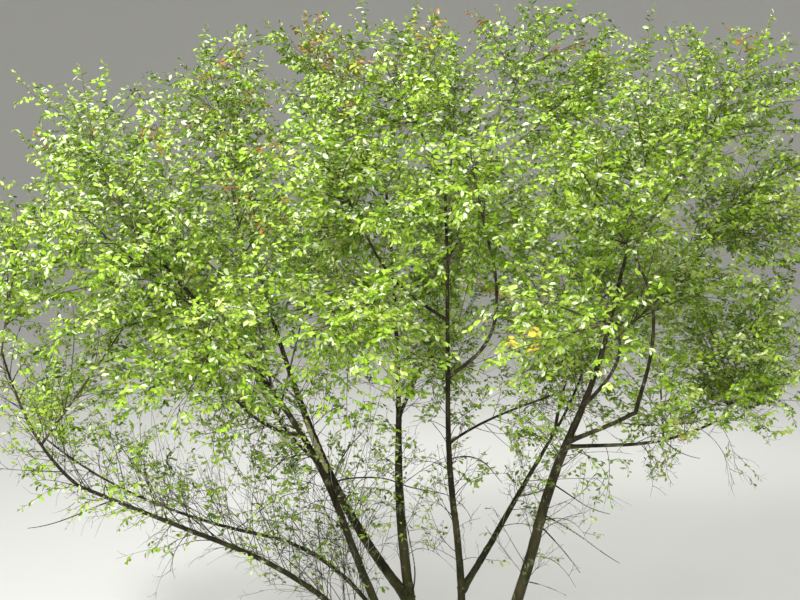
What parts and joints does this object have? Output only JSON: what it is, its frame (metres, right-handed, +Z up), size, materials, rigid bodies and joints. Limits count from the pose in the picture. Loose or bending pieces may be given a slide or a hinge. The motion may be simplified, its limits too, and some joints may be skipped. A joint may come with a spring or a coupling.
{
  "type": "alder buckthorn",
  "caption": "Whole shrubby tree with slender stems rising from one low stool, forking into boughs and a broad, airy crown of leafy masses.",
  "frame": {"origin": "ground level, in the middle of the flat cut under the stool", "axes": "X to the right in the picture, Y away from the camera, Z up"},
  "size_m": [5.9997, 4.4796, 5.1886],
  "materials": {
    "bark": "smooth grey-brown bark, matte, with pale lenticels and lichen",
    "foliage": "thin slightly glossy green leaves on fine twigs"
  },
  "bodies": {
    "root": {"root_stool": "bark", "stem_low_left": "bark", "stem_low_rise": "bark", "stem_low_back": "bark", "stem_left": "bark", "stem_centre_left": "bark", "bough_left_back": "bark", "stem_centre": "bark", "bough_right_back": "bark", "stem_right": "bark", "bough_right_out": "bark", "bough_right_up": "bark", "bough_right_low": "bark", "bough_front_right": "bark", "bough_centre_right": "bark", "bough_centre_low": "bark", "bough_centre_left": "bark", "bough_top_left": "bark", "bough_top_right": "bark", "bough_left_out": "bark", "bough_back": "bark", "bough_back_left": "bark", "bough_back_right": "bark", "leaves_far_left_top": "foliage", "leaves_far_left_tip": "foliage", "leaves_left_front": "foliage", "leaves_left_out": "foliage", "leaves_left_top": "foliage", "leaves_left_back": "foliage", "leaves_left_middle": "foliage", "leaves_left_rear": "foliage", "leaves_low_left": "foliage", "leaves_left_inner": "foliage", "leaves_tall_left": "foliage", "leaves_centre_left": "foliage", "leaves_centre_rear": "foliage", "leaves_top_left": "foliage", "leaves_top_right": "foliage", "leaves_centre_inner": "foliage", "leaves_centre_front": "foliage", "leaves_low_front": "foliage", "leaves_back": "foliage", "leaves_right_back": "foliage", "leaves_right_top": "foliage", "leaves_right_front": "foliage", "leaves_front_right": "foliage", "leaves_right_out": "foliage", "leaves_right_low": "foliage", "leaves_right_inner": "foliage", "leaves_right_rear": "foliage", "leaves_far_right": "foliage", "leaves_far_right_top": "foliage", "leaves_top_middle": "foliage", "leaves_top_back": "foliage", "leaves_right_shoulder": "foliage", "leaves_left_low": "foliage", "leaves_centre_low": "foliage", "leaves_rear_left": "foliage", "leaves_rear_right": "foliage", "leaves_right_middle": "foliage"}
  },
  "joints": []
}
